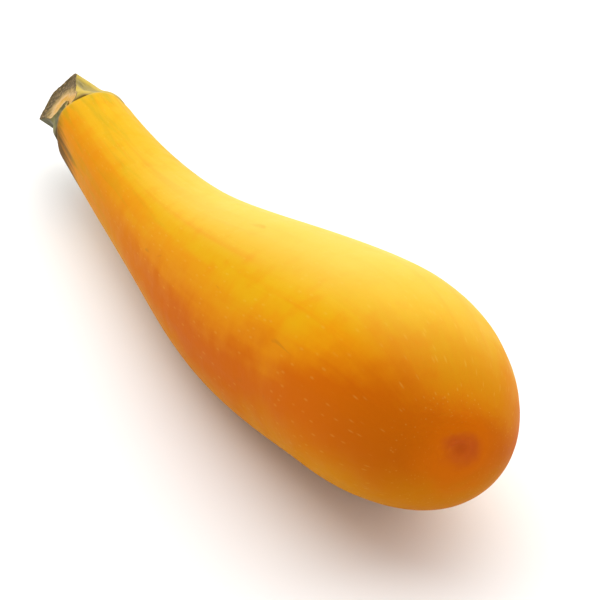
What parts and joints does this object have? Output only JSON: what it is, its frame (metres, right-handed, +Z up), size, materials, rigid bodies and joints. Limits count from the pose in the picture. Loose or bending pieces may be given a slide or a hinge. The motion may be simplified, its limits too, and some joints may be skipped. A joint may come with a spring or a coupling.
{
  "type": "golden zucchini",
  "caption": "Whole golden zucchini: a club-shaped, slightly bowed yellow fruit with a short ridged green stem cut at a slant, lying on its belly.",
  "frame": {"origin": "centre of the bounding box's base, on the surface the fruit lies on", "axes": "+Z up; +X along the fruit, from the stem end to the blossom end; the middle of the neck bows towards -Y"},
  "size_m": [0.2118, 0.0462, 0.0491],
  "materials": {
    "skin": "gloss",
    "stem": "satin"
  },
  "bodies": {
    "root": {"fruit": "skin", "stem": "stem"}
  },
  "joints": []
}
